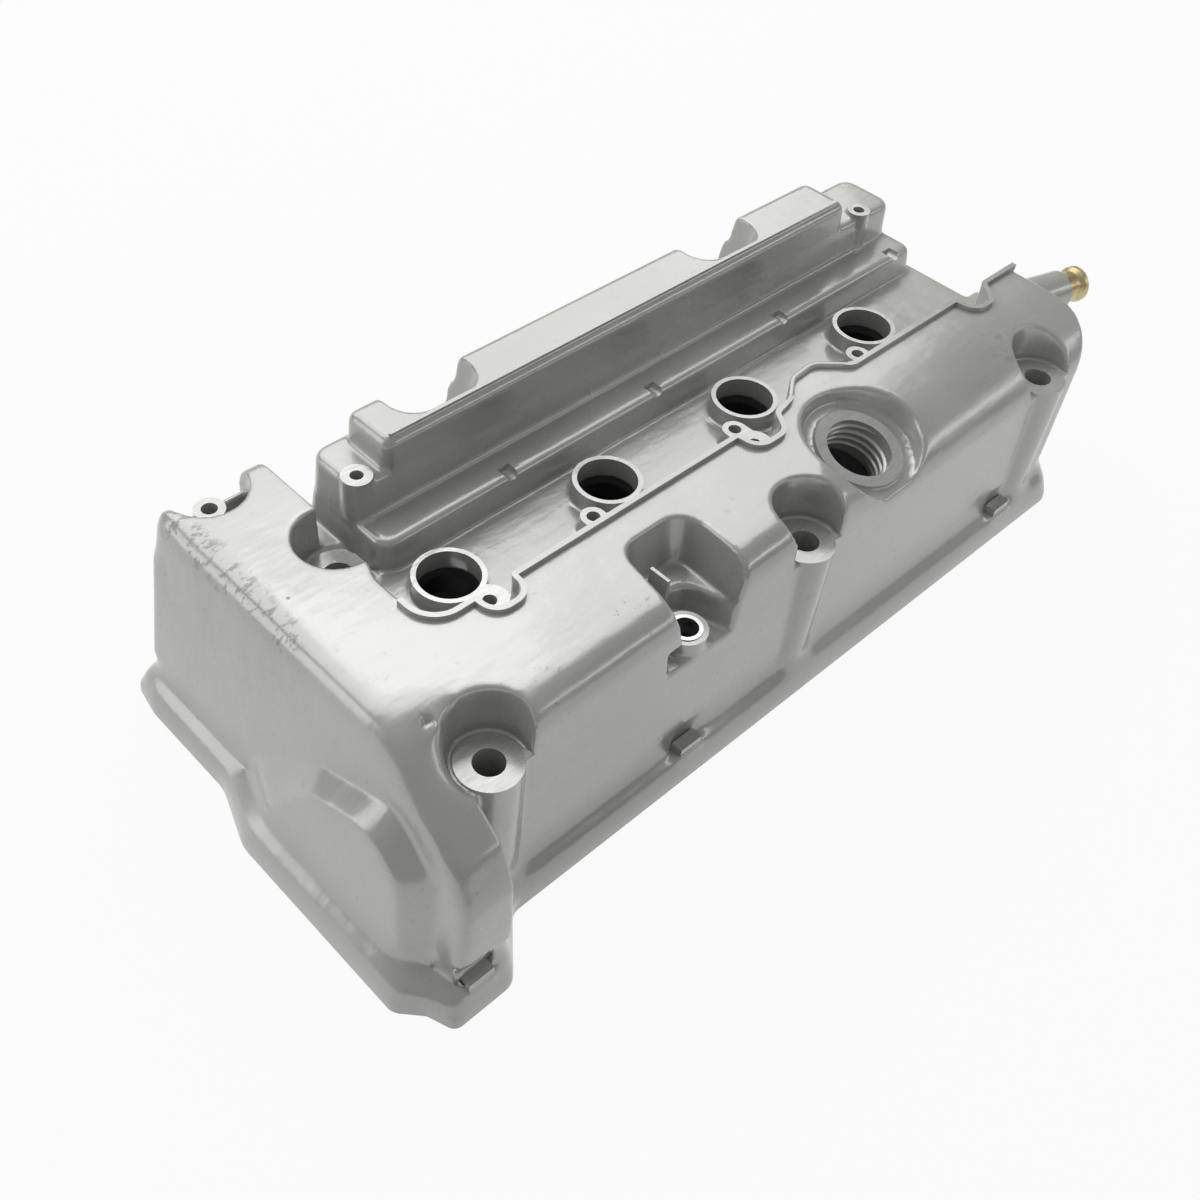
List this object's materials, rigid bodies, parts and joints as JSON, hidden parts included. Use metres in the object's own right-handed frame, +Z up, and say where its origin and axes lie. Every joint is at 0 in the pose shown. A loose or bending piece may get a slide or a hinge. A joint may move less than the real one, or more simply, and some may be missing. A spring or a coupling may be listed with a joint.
{
  "type": "engine valve cover",
  "caption": "Die-cast valve cover for an inline twin-cam engine with a sunk coil well, oil filler neck, breather tower, vent port and hose nipple.",
  "frame": {"origin": "under the middle of the cover's bounding box, on the gasket plane", "axes": "+X along the coil row towards the hose nipple, +Y across it towards the breather tower, +Z up, away from the cylinder head"},
  "size_m": [0.5306, 0.2294, 0.1354],
  "materials": {
    "painted_casting": "semi-gloss silver-grey paint",
    "rubber": "matt black",
    "plated_steel": "yellow zinc plating",
    "sheet_steel": "rolled, satin",
    "bright_steel": "turned, satin"
  },
  "bodies": {
    "root": {"cover_casting": "painted_casting", "cover_gasket": "rubber", "tube_seal_1": "rubber", "tube_seal_2": "rubber", "tube_seal_3": "rubber", "tube_seal_4": "rubber", "breather_nipple": "plated_steel", "vent_sleeve": "bright_steel", "baffle_plate": "sheet_steel", "baffle_screws": "bright_steel"}
  },
  "joints": []
}
